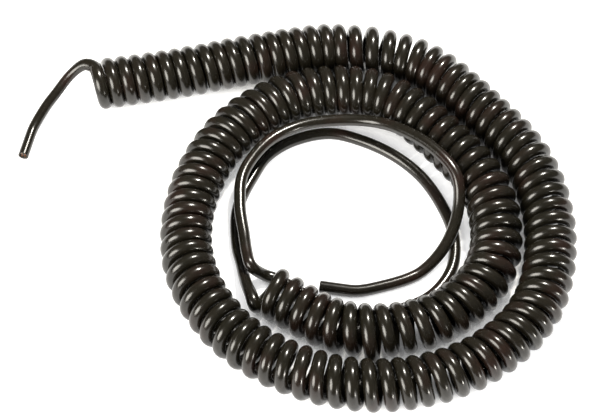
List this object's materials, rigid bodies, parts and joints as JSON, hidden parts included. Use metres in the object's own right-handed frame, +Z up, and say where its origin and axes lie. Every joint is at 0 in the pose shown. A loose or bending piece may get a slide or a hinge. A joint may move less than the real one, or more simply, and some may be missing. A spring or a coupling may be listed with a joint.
{
  "type": "retractile controller lead",
  "caption": "Glossy dark brown-black curly cable wound in a close coil and laid in a spiral, with a bare cut lead at each end",
  "frame": {"origin": "On the floor, under the middle of the part's outline seen from above", "axes": "+Z up, X along the longest side with the straight outer stretch of the coil pointing to -X, +Y away from the side with the cut outer end"},
  "size_m": [0.2345, 0.1882, 0.0235],
  "materials": {
    "sheath": "glossy extruded PVC, warm brown-black",
    "insulation_brown": "satin",
    "insulation_blue": "satin",
    "insulation_black": "satin",
    "insulation_grey": "satin",
    "copper": "bare stranded copper"
  },
  "bodies": {
    "coil": {"coil_outer_run": "sheath", "coil_outer_ring": "sheath", "coil_inner_ring": "sheath", "inner_lead": "sheath", "inner_end_sheath": "sheath", "inner_end_insulation_brown": "insulation_brown", "inner_end_insulation_blue": "insulation_blue", "inner_end_insulation_black": "insulation_black", "inner_end_insulation_grey": "insulation_grey", "inner_end_conductor_brown": "copper", "inner_end_conductor_blue": "copper", "inner_end_conductor_black": "copper", "inner_end_conductor_grey": "copper"},
    "outer_end": {"outer_lead": "sheath", "outer_end_sheath": "sheath", "outer_end_insulation_brown": "insulation_brown", "outer_end_insulation_blue": "insulation_blue", "outer_end_insulation_black": "insulation_black", "outer_end_insulation_grey": "insulation_grey", "outer_end_conductor_brown": "copper", "outer_end_conductor_blue": "copper", "outer_end_conductor_black": "copper", "outer_end_conductor_grey": "copper"}
  },
  "joints": [
    {"name": "coil_stretch", "type": "slide", "parent": "coil", "child": "outer_end", "axis": [-0.98, -0.1988, 0], "range_m": [0, 0.16], "stiffness_N_per_m": 14, "deforming": ["coil_outer_run"]}
  ]
}
